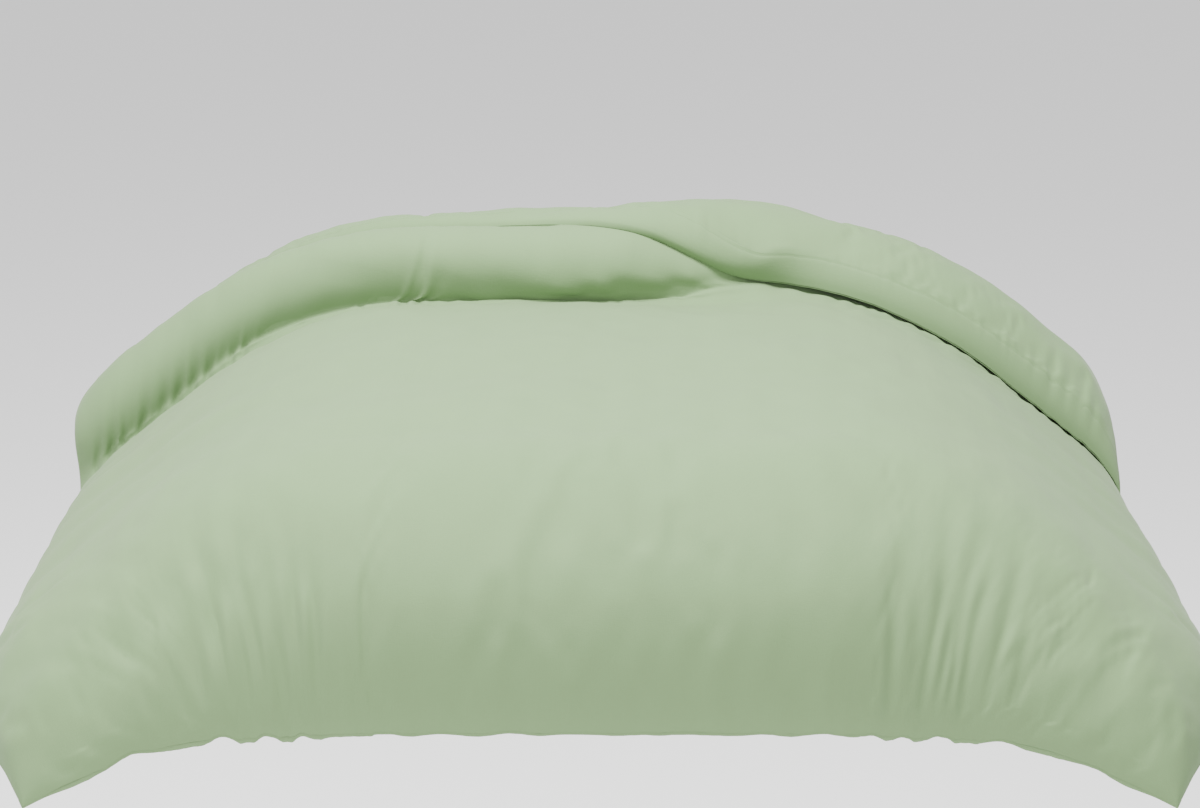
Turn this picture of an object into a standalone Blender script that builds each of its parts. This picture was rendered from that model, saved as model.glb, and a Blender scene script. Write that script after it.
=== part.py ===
"""A queen duvet spread on a bed: a zipped cotton cover over a box-stitched insert, its head end turned
back over itself, with the sides and foot hanging over the edges of the bed. Metres, +Z up, the head of
the bed at +Y, and the bed's top surface at Z = 0."""

import math

import bmesh
import bpy
import numpy as np
from mathutils import Matrix, Vector

# The cover as it is cut
COVER_WIDTH = 2.29
COVER_LENGTH = 2.29
CLOTH = 0.001
INSERT_INSET = 0.030        # cover edge to insert edge
FILL_INSET = 0.055          # cover edge to the filling
SHELL = 0.0008              # insert shell cloth
CLEAR = 0.0006              # between one layer and the next
LOOSE = 0.0008              # between the cover and the insert
EDGE = 2 * CLOTH + 0.0004   # both panels where they are sewn together

# How thick it lies
LOFT_MIDDLE = 0.080
LOFT_SIDE = 0.064
LOFT_TURNBACK = 0.118
ROUNDING = 0.13             # width over which the loft falls to the seam

# The bed edge it bends over
REST_HALF_WIDTH = 0.36
REST_FOOT = -0.80
FOOT_DROP = 0.50
SIDE_BEND = (0.60, math.radians(38.5))
FOOT_BEND = (0.27, math.radians(66))
CORNER_PULL = 0.13

# The pleat and the turn-back at the head
PLEAT_Y = 0.31             # where the pleat starts, on the left
PLEAT_SLANT = 0.03         # nearer the foot by this on the right
PLEAT_ANGLE = math.radians(108)
PLEAT_RISE = 0.14
PLEAT_ROLL = 0.10
TURN_LENGTH = 0.09          # cloth that the crease takes up
TURN_GAP = 0.004            # between the turned-back layer and the one under it

# The zip near the foot hem, on the side that faces the bed
ZIP_LENGTH = 0.70
ZIP_UP = 0.045
TAPE_WIDTH = 0.012
TAPE_THICK = 0.0008
CHAIN_WIDTH = 0.003
CHAIN_THICK = 0.0016
SLIDER_SIZE = (0.010, 0.008, 0.0022)
PULL_LENGTH = 0.020
PULL_WIDTH = 0.0052
PULL_THICK = 0.0012
FIT = 0.0004                # gap between small fitted pieces

LABEL = (0.022, 0.055)

SIDE_COLUMNS = 3            # between the flat top and the filling's edge


def smooth(x, low, high):
    t = np.clip((x - low) / (high - low), 0, 1)
    return t * t * (3 - 2 * t)


def track(x, *points):
    """A smooth run of values through (place, value) pairs."""
    places, values = (np.array(column, float) for column in zip(*points))
    i = int(np.clip(np.searchsorted(places, x) - 1, 0, len(places) - 2))
    span = places[i + 1] - places[i]
    t = np.clip((x - places[i]) / span, 0, 1)
    slope = np.gradient(values, places) * span
    return (
        (2 * t**3 - 3 * t**2 + 1) * values[i] + (t**3 - 2 * t**2 + t) * slope[i]
        + (3 * t**2 - 2 * t**3) * values[i + 1] + (t**3 - t**2) * slope[i + 1]
    )


def rounded(distance, width):
    """0 at a seam, 1 where the loft is full."""
    d = np.clip(distance / width, 0, 1)
    return np.sqrt(np.maximum(1 - (1 - d) ** 2, 0))


def hang(run, height, bend):
    """Reach and level of a layer at this height, this far past the edge of the flat top."""
    radius, most = bend
    outer = radius + height
    angle = np.minimum(run / outer, most)
    rest = np.maximum(run - outer * most, 0)
    reach = outer * np.sin(angle) + rest * np.cos(most)
    return reach, outer * np.cos(angle) - radius - rest * np.sin(most)


def draped(u, a, b):
    """A point of the flat layout (across, along, height) laid over the bed."""
    across = max(abs(u) - REST_HALF_WIDTH, 0)
    along = max(REST_FOOT - a, 0)
    run = math.hypot(across, along)
    if run < 1e-9:
        return np.array([u, a, b])
    side, foot = across / run, along / run
    corner = 4 * side**2 * foot**2
    run *= 1 - CORNER_PULL * corner * float(smooth(run, 0.2, 0.8))
    side_reach, side_level = hang(run, b, SIDE_BEND)
    foot_reach, foot_level = hang(run, b, FOOT_BEND)
    towards_foot = float(smooth(foot**2, 0, 1))
    reach = side_reach + (foot_reach - side_reach) * towards_foot
    level = side_level + (foot_level - side_level) * towards_foot
    x = math.copysign(min(abs(u), REST_HALF_WIDTH) + reach * side, u)
    return np.array([x, max(a, REST_FOOT) - reach * foot, level])


def pleat_angle(u):
    return PLEAT_ANGLE * (1 - float(smooth(u, 0.0, 0.50)))


def hem_beyond_pleat(u):
    """How far past the pleat the turned-back hem lies: on the left it climbs over the roll."""
    half = COVER_WIDTH / 2
    return track(
        u, (-half, 0.26), (-0.70, 0.24), (-0.43, 0.185), (-0.20, 0.145), (0.0, 0.122), (0.12, 0.104),
        (0.22, 0.080), (0.34, 0.045), (0.45, 0.018), (0.60, 0.0), (0.85, 0.0), (half, 0.0),
    )


class Section:
    """The length of the duvet at one place across the bed, as the path of its under side."""

    steps = 500

    def __init__(self, u):
        self.u = u
        pleat = PLEAT_Y - PLEAT_SLANT * float(smooth(u, 0.1, 0.9))
        self.start = pleat - REST_FOOT + FOOT_DROP - 0.45 * PLEAT_RISE
        self.hem = self.start + 0.45 * PLEAT_RISE + float(hem_beyond_pleat(u))
        self.crease = (COVER_LENGTH - TURN_LENGTH + self.hem) / 2
        self.side = float(rounded(COVER_WIDTH / 2 - abs(u), ROUNDING))
        self.path = np.linspace(0, self.crease, self.steps)
        low, high = 0.0, math.radians(75)
        for _ in range(40):
            fall = (low + high) / 2
            self.lay(fall)
            if self.b[-1] > 0.045 * (1 - math.cos(fall)):
                low = fall
            else:
                high = fall

    def lay(self, fall):
        """Runs flat, up the pleat by its angle, over its roll and down by the fall."""
        rise = pleat_angle(self.u)
        roll_start = self.start + 0.85 * PLEAT_RISE
        self.turn = rise * smooth(self.path, self.start, self.start + PLEAT_RISE) - (
            rise + fall
        ) * smooth(self.path, roll_start, roll_start + PLEAT_ROLL)
        step = self.path[1]
        middle = (self.turn[1:] + self.turn[:-1]) / 2
        self.a = REST_FOOT - FOOT_DROP + np.concatenate([[0], np.cumsum(np.cos(middle)) * step])
        self.b = np.concatenate([[0], np.cumsum(np.sin(middle)) * step])

    def at(self, s, h):
        """The point at this height off the under side."""
        turn = np.interp(s, self.path, self.turn)
        a = np.interp(s, self.path, self.a) - math.sin(turn) * h
        b = np.interp(s, self.path, self.b) + math.cos(turn) * h
        past = max(s - self.crease, 0)
        return draped(self.u, a + math.cos(turn) * past, b + math.sin(turn) * past)

    def loft(self, s):
        """Thickness of the layer that lies on the bed."""
        middle = 1 - float(smooth(abs(self.u), 0.2, 0.75))
        full = LOFT_SIDE + (LOFT_MIDDLE - LOFT_SIDE) * middle
        full *= 1 - 0.30 * float(smooth(s, self.crease - 0.9, self.crease - 0.45))
        pinch = 1 - float(smooth(abs(s - self.start - 0.05), 0.0, 0.12))
        full *= 1 - 0.30 * pleat_angle(self.u) / PLEAT_ANGLE * pinch
        return EDGE + full * float(rounded(s, ROUNDING)) * self.side

    def turned_loft(self, s):
        """Thickness of the layer that is turned back over it."""
        covered = pleat_angle(self.u) / PLEAT_ANGLE
        start = self.loft(self.crease)
        peak = LOFT_TURNBACK * (1 - 0.40 * covered)
        full = start - EDGE + self.side * (peak - start) * float(smooth(self.crease - s, 0.0, 0.12))
        return EDGE + full * float(rounded(s - self.hem, ROUNDING + 0.03))

    def rows(self):
        """Where the cross rows lie: (kind, place) from the foot hem, round the crease, to the head hem."""
        lying = [0, INSERT_INSET] + list(np.linspace(FILL_INSET, FOOT_DROP, 5))
        lying += list(np.linspace(FOOT_DROP, self.start, 5)[1:])
        lying += list(np.linspace(self.start, self.hem, 7)[1:])
        doubled = [self.hem + INSERT_INSET, self.hem + FILL_INSET]
        doubled += list(np.linspace(self.hem + FILL_INSET, self.crease, 6)[1:])
        lying += doubled
        turned = list(reversed(doubled[:-1])) + [self.hem]
        round_turn = [math.pi * k / 5 for k in range(1, 5)]
        return (
            [("lying", s) for s in lying] + [("turning", angle) for angle in round_turn]
            + [("turned", s) for s in [self.crease] + turned]
        )

    def layer_point(self, row, share):
        """A point of this row, from 0 on the back of the cover to its thickness on the face."""
        kind, place = row
        if kind == "lying":
            return self.at(place, share)
        if kind == "turned":
            top = self.loft(place) + TURN_GAP + self.turned_loft(place)
            return self.at(place, top - share)
        lying = self.loft(self.crease)
        radius = lying + TURN_GAP / 2 - share
        return self.at(
            self.crease + radius * math.sin(place), lying + TURN_GAP / 2 - radius * math.cos(place)
        )

    def thickness(self, row):
        kind, place = row
        if kind == "turned":
            return self.turned_loft(place)
        return self.loft(place if kind == "lying" else self.crease)


def columns():
    half = COVER_WIDTH / 2
    right = [REST_HALF_WIDTH / 2]
    right += list(np.linspace(REST_HALF_WIDTH, half - FILL_INSET, SIDE_COLUMNS + 2))
    right += [half - INSERT_INSET, half]
    return [-c for c in reversed(right)] + [0.0] + right


def layer_heights(thickness, ring):
    """Heights of each layer's two faces. The ring is 0 on the cover's edge and 1 on the insert's."""
    middle = thickness / 2
    insert = middle - CLOTH - LOOSE
    if ring == 1:
        insert = SHELL + CLEAR / 2
    return {
        "cover_back_panel": (0, CLOTH),
        "cover_face_panel": (thickness - CLOTH, thickness),
        "insert_bottom_shell": (middle - insert, middle - insert + SHELL),
        "insert_top_shell": (middle + insert - SHELL, middle + insert),
        "fill": (middle - insert + SHELL + CLEAR, middle + insert - SHELL - CLEAR),
    }


def build_layers():
    """Every layer's lower and upper point on the shared grid of rows and columns."""
    across = columns()
    grids = {}
    for j, u in enumerate(across):
        section = Section(u)
        rows = section.rows()
        for i, row in enumerate(rows):
            ring = min(i, len(rows) - 1 - i, j, len(across) - 1 - j)
            heights = layer_heights(section.thickness(row), ring)
            for name, faces in heights.items():
                grid = grids.setdefault(name, np.zeros((len(rows), len(across), 2, 3)))
                grid[i, j] = [section.layer_point(row, h) for h in faces]
    return grids


def material(name, colour, roughness=0.9, metallic=0.0):
    made = bpy.data.materials.new(name)
    made.use_nodes = True
    shader = made.node_tree.nodes["Principled BSDF"]
    shader.inputs["Base Color"].default_value = (*colour, 1)
    shader.inputs["Roughness"].default_value = roughness
    shader.inputs["Metallic"].default_value = metallic
    return made


def add_object(name, mesh, colour, roughness=0.9, metallic=0.0, flat=False):
    obj = bpy.data.objects.new(name, mesh)
    bpy.context.scene.collection.objects.link(obj)
    mesh.materials.append(material(name, colour, roughness, metallic))
    if not flat:
        mesh.shade_smooth()
    return obj


def slab(name, grid, colour, start=(0, 0)):
    """A closed sheet from a grid of lower and upper points, which starts at a row and a column of the whole
    duvet's. Quads are split alike in every layer, and alike where one layer is turned back on another."""
    rows, cols = grid.shape[:2]
    middle_column = len(columns()) // 2
    crease_row = sum(kind == "lying" for kind, _ in Section(0.0).rows())
    mesh = bpy.data.meshes.new(name)
    work = bmesh.new()
    made = [[[work.verts.new(grid[i, j, k]) for k in (0, 1)] for j in range(cols)] for i in range(rows)]
    for i in range(rows - 1):
        for j in range(cols - 1):
            ring = ((i, j), (i, j + 1), (i + 1, j + 1), (i + 1, j))
            top = [made[p][q][1] for p, q in ring]
            low = [made[p][q][0] for p, q in ring]
            lying = i + start[0] < crease_row
            left = j + start[1] < middle_column
            halves = ((0, 1, 2), (0, 2, 3)) if lying == left else ((0, 1, 3), (1, 2, 3))
            for a, b, c in halves:
                work.faces.new((top[a], top[b], top[c]))
                work.faces.new((low[c], low[b], low[a]))
    rims = [((i, j), (i, j + 1)) for i in (0, rows - 1) for j in range(cols - 1)]
    rims += [((i, j), (i + 1, j)) for j in (0, cols - 1) for i in range(rows - 1)]
    for (p, q), (r, s) in rims:
        work.faces.new((made[p][q][0], made[r][s][0], made[r][s][1]))
        work.faces.new((made[p][q][0], made[r][s][1], made[p][q][1]))
    bmesh.ops.recalc_face_normals(work, faces=work.faces)
    if work.calc_volume(signed=True) < 0:
        bmesh.ops.reverse_faces(work, faces=work.faces)
    work.to_mesh(mesh)
    work.free()
    return add_object(name, mesh, colour)


def trimmed(grid, first, last, left, right, share=0.0):
    """Part of a grid, its outer rows and columns drawn in by a share of their spacing."""
    cut = grid[first : last + 1, left : right + 1].copy()
    for axis in (0, 1):
        cut = np.moveaxis(cut, axis, 0)
        start = cut[0] + share * (cut[1] - cut[0])
        end = cut[-1] + share * (cut[-2] - cut[-1])
        cut[0], cut[-1] = start, end
        cut = np.moveaxis(cut, 0, axis)
    return cut


def build_cover(grids):
    for name, colour in (("cover_back_panel", (0.47, 0.56, 0.42)), ("cover_face_panel", (0.47, 0.57, 0.41))):
        slab(name, grids[name], colour)


def build_insert(grids):
    for name in ("insert_bottom_shell", "insert_top_shell"):
        grid = grids[name]
        slab(name, grid[1:-1, 1:-1], (0.90, 0.90, 0.88), (1, 1))


def pinched(grid, share):
    """The same piece with its rim drawn thinner, as a stitched box is along its stitch lines."""
    rim = np.ones(grid.shape[:2], bool)
    rim[1:-1, 1:-1] = False
    middle = grid.mean(axis=2, keepdims=True)
    thinner = middle + (grid - middle) * (1 - share)
    return np.where(rim[:, :, None, None], thinner, grid)


def build_pockets(grids):
    """The filling, in the stitched boxes that keep it from shifting."""
    grid = grids["fill"]
    across = columns()
    last_row = grid.shape[0] - 3
    cuts = [2, across.index(-REST_HALF_WIDTH), across.index(REST_HALF_WIDTH), len(across) - 3]
    row_cuts = [2, 6, 8, 10, 16, 23, last_row]
    rows = ("foot_drop", "foot_top", "middle_top", "pleat", "head_top", "turnback")
    for row, first, last in zip(rows, row_cuts, row_cuts[1:]):
        for side, left, right in zip(("left", "centre", "right"), cuts, cuts[1:]):
            piece = pinched(trimmed(grid, first, last, left, right, share=0.03), share=0.6)
            slab(f"fill_{row}_{side}", piece, (0.93, 0.93, 0.92), (first, left))


def strip_on(grid, first, last, left, right, row_span, col_span, gap, thick):
    """A strip of cloth lying outside the back panel, between shares of two rows and two columns."""
    under = grid[first : last + 1, left : right + 1, 0]
    inner = grid[first : last + 1, left : right + 1, 1]
    outward = under - inner
    outward /= np.linalg.norm(outward, axis=-1, keepdims=True)
    both = np.stack([under + outward * gap, under + outward * (gap + thick)], axis=2)
    for axis, span in ((0, row_span), (1, col_span)):
        both = np.moveaxis(both, axis, 0)
        start = both[0] + span[0] * (both[1] - both[0])
        end = both[-1] + (1 - span[1]) * (both[-2] - both[-1])
        both[0], both[-1] = start, end
        both = np.moveaxis(both, 0, axis)
    return both


def build_hem_bands(grids):
    """The folded and topstitched hem at the head, and the facing under the zip at the foot."""
    grid = grids["cover_back_panel"]
    rows, cols = grid.shape[:2]
    for name, first in (("head_hem_band", rows - 2), ("foot_facing", 0)):
        band = strip_on(grid, first, first + 1, 0, cols - 1, (0, 1), (0, 1), FIT, CLOTH)
        slab(name, band, (0.45, 0.54, 0.40), (first, 0))


def build_label(grids):
    grid = grids["cover_back_panel"]
    cols = grid.shape[1]
    wide = LABEL[0] / INSERT_INSET
    tall = LABEL[1] / ((FOOT_DROP - FILL_INSET) / 4)
    piece = strip_on(grid, 4, 5, cols - 2, cols - 1, (0.1, 0.1 + tall), (0.1, 0.1 + wide), 2 * FIT, 0.0006)
    slab("care_label", piece, (0.92, 0.92, 0.90), (4, cols - 2))


def zip_frame():
    """Axes of the zip: along it, up the drop, and out towards the bed."""
    radius, most = FOOT_BEND
    reach, level = hang(FOOT_DROP - ZIP_UP, 0.0, FOOT_BEND)
    origin = Vector((0, REST_FOOT - reach, level))
    up = Vector((0, math.cos(most), math.sin(most)))
    out = Vector((0, math.sin(most), -math.cos(most)))
    along = Vector((-1, 0, 0))
    frame = Matrix((along, up, out)).transposed().to_4x4()
    frame.translation = origin
    return frame


def block(name, size, centre, frame, colour, bevel=0.0, roughness=0.6, metallic=0.0):
    """A box of this size in the zip's axes, its edges bevelled."""
    mesh = bpy.data.meshes.new(name)
    work = bmesh.new()
    bmesh.ops.create_cube(work, size=1)
    bmesh.ops.scale(work, vec=size, verts=work.verts)
    bmesh.ops.translate(work, vec=centre, verts=work.verts)
    if bevel:
        bmesh.ops.bevel(work, geom=work.edges[:], offset=bevel, segments=1, affect="EDGES")
    work.to_mesh(mesh)
    work.free()
    obj = add_object(name, mesh, colour, roughness, metallic, flat=True)
    obj.matrix_world = frame
    return obj


def helper(obj):
    obj.hide_render = True
    obj.display_type = "WIRE"
    return obj


def combine(target, other, operation):
    modifier = target.modifiers.new(operation.lower(), "BOOLEAN")
    modifier.object = helper(other)
    modifier.operation = operation


def build_zip():
    frame = zip_frame()
    green, metal = (0.45, 0.54, 0.40), (0.55, 0.56, 0.54)
    tape_at = CHAIN_WIDTH / 2 + FIT + TAPE_WIDTH / 2
    tape_out = FIT + TAPE_THICK / 2
    for name, side in (("zip_tape_upper", 1), ("zip_tape_lower", -1)):
        block(name, (ZIP_LENGTH, TAPE_WIDTH, TAPE_THICK), (0, side * tape_at, tape_out), frame, green)
    chain_out = FIT + CHAIN_THICK / 2
    block("zip_chain", (ZIP_LENGTH, CHAIN_WIDTH, CHAIN_THICK), (0, 0, chain_out), frame, green, 0.0003)
    stop_size = (0.004, CHAIN_WIDTH + 0.002, 0.0012)
    stop_out = FIT + CHAIN_THICK + FIT + stop_size[2] / 2
    stop_at = ZIP_LENGTH / 2 - stop_size[0] / 2
    for name, side in (("zip_top_stop", -1), ("zip_bottom_stop", 1)):
        block(name, stop_size, (side * stop_at, 0, stop_out), frame, metal, 0.0002, 0.35, 1.0)
    build_slider(frame, stop_at - stop_size[0] / 2 - FIT - SLIDER_SIZE[0] / 2, metal)


def build_slider(frame, travel, metal):
    """The slider, at the closed end, with a bridge that the pull's bar turns under."""
    base = FIT + CHAIN_THICK + FIT
    x = -travel
    top = base + SLIDER_SIZE[2]
    slider = block("zip_slider", SLIDER_SIZE, (x, 0, base + SLIDER_SIZE[2] / 2), frame, metal, 0.0004, 0.3, 1.0)
    eye = PULL_THICK + 4 * FIT
    bridge = block(
        "bridge_shape", (0.0054, 0.0018, eye + 0.0012 + 0.001), (x, 0, top + (eye + 0.0002) / 2), frame,
        metal,
    )
    combine(slider, bridge, "UNION")
    hole = block("bridge_hole", (PULL_THICK + 4 * FIT, 0.004, eye), (x, 0, top + 0.0001 + eye / 2), frame, metal)
    combine(slider, hole, "DIFFERENCE")
    centre = top + 0.0001 + eye / 2
    pull = block(
        "zip_pull", (PULL_LENGTH, PULL_WIDTH, PULL_THICK),
        (x + PULL_LENGTH / 2 - PULL_THICK / 2, 0, centre), frame, metal, 0.0002, 0.3, 1.0,
    )
    window = block(
        "pull_window", (0.0050, 0.0018 + 2 * FIT, 0.004), (x + PULL_THICK / 2 + 0.0025, 0, centre), frame, metal
    )
    combine(pull, window, "DIFFERENCE")


def build_corner_ties(grids):
    """In each corner, a loop on the insert and the cover's tie that passes through it."""
    back, top = grids["cover_back_panel"], grids["cover_face_panel"]
    rows, cols = back.shape[:2]
    for end, i, inner_i in (("foot", 0, 1), ("head", rows - 1, rows - 2)):
        for side, j, inner_j in (("left", 0, 1), ("right", cols - 1, cols - 2)):
            corner = Vector((back[i, j, 1] + top[i, j, 0]) / 2)
            inner = Vector((back[inner_i, inner_j, 1] + top[inner_i, inner_j, 0]) / 2)
            up = Vector(top[inner_i, inner_j, 0] - back[inner_i, inner_j, 1]).normalized()
            along = (corner - inner).normalized()
            across = up.cross(along).normalized()
            up = along.cross(across)
            frame = Matrix((along, across, up)).transposed().to_4x4()
            frame.translation = inner
            loop = block(f"insert_loop_{end}_{side}", (0.0025, 0.0078, 0.0042), (0.0030, 0, 0), frame,
                         (0.9, 0.9, 0.88))
            hole = block(f"loop_hole_{end}_{side}", (0.01, 0.0052, 0.0022), (0.0030, 0, 0), frame,
                         (0.9, 0.9, 0.88))
            combine(loop, hole, "DIFFERENCE")
            length = (corner - inner).length * 0.60
            block(f"corner_tie_{end}_{side}", (length, 0.004, 0.0010), (0.0012 + length / 2, 0, 0), frame,
                  (0.88, 0.89, 0.86))


def clear_scene():
    for obj in list(bpy.data.objects):
        bpy.data.objects.remove(obj, do_unlink=True)


def main():
    clear_scene()
    grids = build_layers()
    build_cover(grids)
    build_insert(grids)
    build_pockets(grids)
    build_hem_bands(grids)
    build_label(grids)
    build_zip()
    build_corner_ties(grids)


main()
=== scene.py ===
"""A queen duvet lying on a bed, its head end turned back: the looks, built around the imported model."""

import math

import bmesh
import bpy
import numpy as np
from bpy.props import FloatProperty, FloatVectorProperty, IntProperty, PointerProperty
from mathutils import Matrix, Vector


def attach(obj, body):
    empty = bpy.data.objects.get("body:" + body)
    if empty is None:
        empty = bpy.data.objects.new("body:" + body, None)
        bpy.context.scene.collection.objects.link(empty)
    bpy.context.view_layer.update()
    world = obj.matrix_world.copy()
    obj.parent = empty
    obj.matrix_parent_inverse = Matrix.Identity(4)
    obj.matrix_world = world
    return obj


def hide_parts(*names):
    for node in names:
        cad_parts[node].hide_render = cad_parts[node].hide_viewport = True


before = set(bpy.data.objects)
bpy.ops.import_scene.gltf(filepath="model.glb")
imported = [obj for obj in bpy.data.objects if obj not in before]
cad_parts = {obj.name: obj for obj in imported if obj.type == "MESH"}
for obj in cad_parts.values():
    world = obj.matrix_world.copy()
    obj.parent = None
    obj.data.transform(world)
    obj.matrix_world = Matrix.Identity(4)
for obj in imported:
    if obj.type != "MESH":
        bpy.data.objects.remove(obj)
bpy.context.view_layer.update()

bl_info = {
    "name": "Draped duvet",
    "version": (1, 0, 0),
    "blender": (4, 5, 0),
    "location": "View3D > Sidebar > Duvet",
    "description": "A zipped duvet cover over a quilted insert, draped on a bed with its head end turned back",
    "category": "Add Mesh",
}

# Sizes repeated from the part, in metres
COVER = 2.29
CLOTH = 0.0008
EDGE = 0.0024
LOFT_MIDDLE = 0.080
LOFT_SIDE = 0.064
LOFT_TURNBACK = 0.118
ROUNDING = 0.13
REST_HALF_WIDTH = 0.36
REST_FOOT = -0.80
FOOT_DROP = 0.50
SIDE_BEND = (0.60, math.radians(38.5))
FOOT_BEND = (0.27, math.radians(66))
CORNER_PULL = 0.13
PLEAT_Y = 0.31
PLEAT_SLANT = 0.03
PLEAT_ANGLE = math.radians(108)
PLEAT_RISE = 0.14
PLEAT_ROLL = 0.10
TURN_LENGTH = 0.09
TURN_GAP = 0.004
INSERT_INSET = 0.030
HALF = COVER / 2


# -------- the drape

def smooth(x, low, high):
    t = np.clip((x - low) / (high - low), 0, 1)
    return t * t * (3 - 2 * t)


def between(values, slope, i, t, span=1):
    """A smooth curve through the values, at share t of the way from value i to the next."""
    return (
        (2 * t**3 - 3 * t**2 + 1) * values[i] + (t**3 - 2 * t**2 + t) * slope[i] * span
        + (3 * t**2 - 2 * t**3) * values[i + 1] + (t**3 - t**2) * slope[i + 1] * span
    )


def track(x, *points):
    """A smooth run of values through (place, value) pairs."""
    places, values = (np.array(column, float) for column in zip(*points))
    i = np.clip(np.searchsorted(places, x) - 1, 0, len(places) - 2)
    span = places[i + 1] - places[i]
    t = np.clip((x - places[i]) / span, 0, 1)
    return between(values, np.gradient(values, places), i, t, span)


def rounded(distance, width):
    """0 at a seam, 1 where the loft is full."""
    d = np.clip(distance / width, 0, 1)
    return np.sqrt(np.maximum(1 - (1 - d) ** 2, 0))


def hang(run, height, bend):
    """Reach and level of a layer at this height, this far past the edge of the flat top."""
    radius, most = bend
    outer = radius + height
    angle = np.minimum(run / outer, most)
    rest = np.maximum(run - outer * most, 0)
    reach = outer * np.sin(angle) + rest * np.cos(most)
    return reach, outer * np.cos(angle) - radius - rest * np.sin(most)


def draped(u, a, b):
    """Points of the flat layout (across, along, height) laid over the bed."""
    across = np.maximum(np.abs(u) - REST_HALF_WIDTH, 0)
    along = np.maximum(REST_FOOT - a, 0)
    run = np.hypot(across, along) + 1e-12
    side, foot = across / run, along / run
    corner = 4 * side**2 * foot**2
    run = run * (1 - CORNER_PULL * corner * smooth(run, 0.2, 0.8))
    side_reach, side_level = hang(run, b, SIDE_BEND)
    foot_reach, foot_level = hang(run, b, FOOT_BEND)
    towards_foot = smooth(foot**2, 0, 1)
    reach = side_reach + (foot_reach - side_reach) * towards_foot
    level = side_level + (foot_level - side_level) * towards_foot
    x = np.sign(u) * (np.minimum(np.abs(u), REST_HALF_WIDTH) + reach * side)
    return np.stack([x, np.maximum(a, REST_FOOT) - reach * foot, level], -1)


def pleat_share(u):
    return 1 - smooth(u, 0.0, 0.50)


def hem_beyond_pleat(u):
    """How far past the pleat the turned-back hem lies: on the left it climbs over the roll."""
    return track(
        u, (-HALF, 0.26), (-0.70, 0.24), (-0.43, 0.185), (-0.20, 0.145), (0.0, 0.122), (0.12, 0.104),
        (0.22, 0.080), (0.34, 0.045), (0.45, 0.018), (0.60, 0.0), (0.85, 0.0), (HALF, 0.0),
    )


class Section:
    """The length of the duvet at one place across the bed, as the path of its under side."""

    steps = 500

    def __init__(self, u):
        self.u = float(u)
        self.share = float(pleat_share(self.u))
        pleat = PLEAT_Y - PLEAT_SLANT * float(smooth(self.u, 0.1, 0.9))
        self.start = pleat - REST_FOOT + FOOT_DROP - 0.45 * PLEAT_RISE
        self.hem = self.start + 0.45 * PLEAT_RISE + float(hem_beyond_pleat(self.u))
        self.crease = (COVER - TURN_LENGTH + self.hem) / 2
        self.side = float(rounded(HALF - abs(self.u), ROUNDING))
        self.path = np.linspace(0, self.crease, self.steps)
        low, high = 0.0, math.radians(75)
        for _ in range(30):
            fall = (low + high) / 2
            self.lay(fall)
            if self.b[-1] > 0.045 * (1 - math.cos(fall)):
                low = fall
            else:
                high = fall

    def lay(self, fall):
        """Runs flat, up the pleat by its angle, over its roll and down by the fall."""
        rise = PLEAT_ANGLE * self.share
        roll_start = self.start + 0.85 * PLEAT_RISE
        self.turn = rise * smooth(self.path, self.start, self.start + PLEAT_RISE) - (
            rise + fall
        ) * smooth(self.path, roll_start, roll_start + PLEAT_ROLL)
        step = self.path[1]
        middle = (self.turn[1:] + self.turn[:-1]) / 2
        self.a = REST_FOOT - FOOT_DROP + np.concatenate([[0], np.cumsum(np.cos(middle)) * step])
        self.b = np.concatenate([[0], np.cumsum(np.sin(middle)) * step])

    def along(self, kind, place):
        """Distance of a row from the foot hem, along the flat cloth."""
        if kind == "lying":
            return place
        if kind == "turned":
            return 2 * self.crease + TURN_LENGTH - place
        return self.crease + TURN_LENGTH * place / math.pi

    def at(self, s, h):
        """Points at these heights off the under side."""
        turn = np.interp(s, self.path, self.turn)
        a = np.interp(s, self.path, self.a) - np.sin(turn) * h
        b = np.interp(s, self.path, self.b) + np.cos(turn) * h
        past = np.maximum(s - self.crease, 0)
        return draped(self.u, a + np.cos(turn) * past, b + np.sin(turn) * past)

    def loft(self, s):
        """Thickness of the layer that lies on the bed."""
        full = LOFT_SIDE + (LOFT_MIDDLE - LOFT_SIDE) * (1 - smooth(abs(self.u), 0.2, 0.75))
        full = full * (1 - 0.30 * smooth(s, self.crease - 0.9, self.crease - 0.45))
        pinch = 1 - smooth(np.abs(s - self.start - 0.05), 0.0, 0.12)
        full = full * (1 - 0.30 * self.share * pinch)
        return EDGE + full * rounded(s, ROUNDING) * self.side

    def turned_loft(self, s):
        """Thickness of the layer that is turned back over it."""
        start = self.loft(self.crease)
        peak = LOFT_TURNBACK * (1 - 0.40 * self.share)
        full = start - EDGE + self.side * (peak - start) * smooth(self.crease - s, 0.0, 0.12)
        return EDGE + full * rounded(s - self.hem, ROUNDING + 0.03)

    def thickness(self, kind, place):
        """Thickness of the layer at rows of this kind: lying, turning or turned."""
        if kind == "turned":
            return self.turned_loft(place)
        return self.loft(place if kind == "lying" else np.full_like(place, self.crease))

    def points(self, kind, place, height):
        """Points of rows of this kind, at these heights off the under side of the cloth."""
        if kind == "lying":
            return self.at(place, height)
        if kind == "turned":
            return self.at(place, self.loft(place) + TURN_GAP + self.turned_loft(place) - height)
        middle = float(self.loft(self.crease)) + TURN_GAP / 2
        radius = middle - height
        return self.at(self.crease + radius * np.sin(place), middle - radius * np.cos(place))


# -------- folds and wrinkles

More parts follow.
